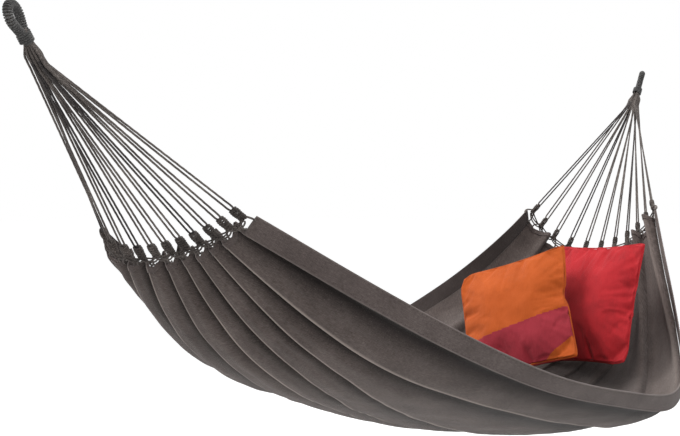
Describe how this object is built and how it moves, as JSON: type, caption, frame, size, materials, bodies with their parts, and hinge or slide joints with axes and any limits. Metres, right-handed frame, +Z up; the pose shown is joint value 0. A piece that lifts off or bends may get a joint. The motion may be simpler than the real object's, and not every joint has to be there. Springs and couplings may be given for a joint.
{
  "type": "hammock",
  "caption": "Gathered-end cloth hammock: a pleated cloth bed on fans of doubled cords, a whipped eye at each end to hang on a hook, and loose square cushions.",
  "frame": {"origin": "bearing point of the foot eye: the top of its loop, where it lies on its hook", "axes": "+X from the foot eye to the head eye, where the cushions lie, +Z up, -Y towards the front side"},
  "size_m": [2.7875, 1.2184, 1.0438],
  "materials": {
    "core_cord": "bundled cotton cord",
    "whipping_cord": "tight round whipping",
    "suspension_cord": "twisted cotton cord",
    "knot_cord": "braided cotton cord",
    "loop_cord": "twisted cotton rope",
    "cloth": "heavy woven cotton",
    "cloth_hem": "folded and stitched woven cotton",
    "orange_cotton": "plain woven cotton",
    "raspberry_cotton": "plain woven cotton",
    "red_cotton": "plain woven cotton",
    "filling": "fibre filling in a lining",
    "zip": "moulded zip"
  },
  "bodies": {
    "eyes": {"foot_eye_core": "core_cord", "foot_eye_whipping": "whipping_cord", "foot_eye_neck": "core_cord", "foot_neck_binding": "whipping_cord", "head_eye_core": "core_cord", "head_eye_whipping": "whipping_cord", "head_eye_neck": "core_cord", "head_neck_binding": "whipping_cord"},
    "bed": {"foot_knots": "knot_cord", "foot_end_loops": "loop_cord", "foot_end_hem": "cloth_hem", "head_knots": "knot_cord", "head_end_loops": "loop_cord", "head_end_hem": "cloth_hem", "foot_cord_01": "suspension_cord", "foot_cord_02": "suspension_cord", "foot_cord_03": "suspension_cord", "foot_cord_04": "suspension_cord", "foot_cord_05": "suspension_cord", "foot_cord_06": "suspension_cord", "foot_cord_07": "suspension_cord", "foot_cord_08": "suspension_cord", "foot_cord_09": "suspension_cord", "foot_cord_10": "suspension_cord", "foot_cord_11": "suspension_cord", "head_cord_01": "suspension_cord", "head_cord_02": "suspension_cord", "head_cord_03": "suspension_cord", "head_cord_04": "suspension_cord", "head_cord_05": "suspension_cord", "head_cord_06": "suspension_cord", "head_cord_07": "suspension_cord", "head_cord_08": "suspension_cord", "head_cord_09": "suspension_cord", "head_cord_10": "suspension_cord", "head_cord_11": "suspension_cord", "cloth_panel": "cloth", "front_side_hem": "cloth_hem", "back_side_hem": "cloth_hem"},
    "orange_cushion": {"orange_cushion_cover_back": "orange_cotton", "orange_cushion_orange_panel": "orange_cotton", "orange_cushion_raspberry_panel": "raspberry_cotton", "orange_cushion_filling": "filling", "orange_cushion_zip": "zip"},
    "red_cushion": {"red_cushion_cover_back": "red_cotton", "red_cushion_cover_front": "red_cotton", "red_cushion_filling": "filling", "red_cushion_zip": "zip"}
  },
  "joints": [
    {"name": "swing", "type": "hinge", "parent": "eyes", "child": "bed", "pos_m": [0.04703, 0, -0.07105], "axis": [1, 0, 0], "range_deg": [-35, 35]},
    {"name": "orange_cushion_lift", "type": "slide", "parent": "bed", "child": "orange_cushion", "axis": [0.3697, 0, 0.9292], "range_m": [0, 0.4]},
    {"name": "red_cushion_lift", "type": "slide", "parent": "bed", "child": "red_cushion", "axis": [0.3697, 0, 0.9292], "range_m": [0, 0.4]}
  ]
}
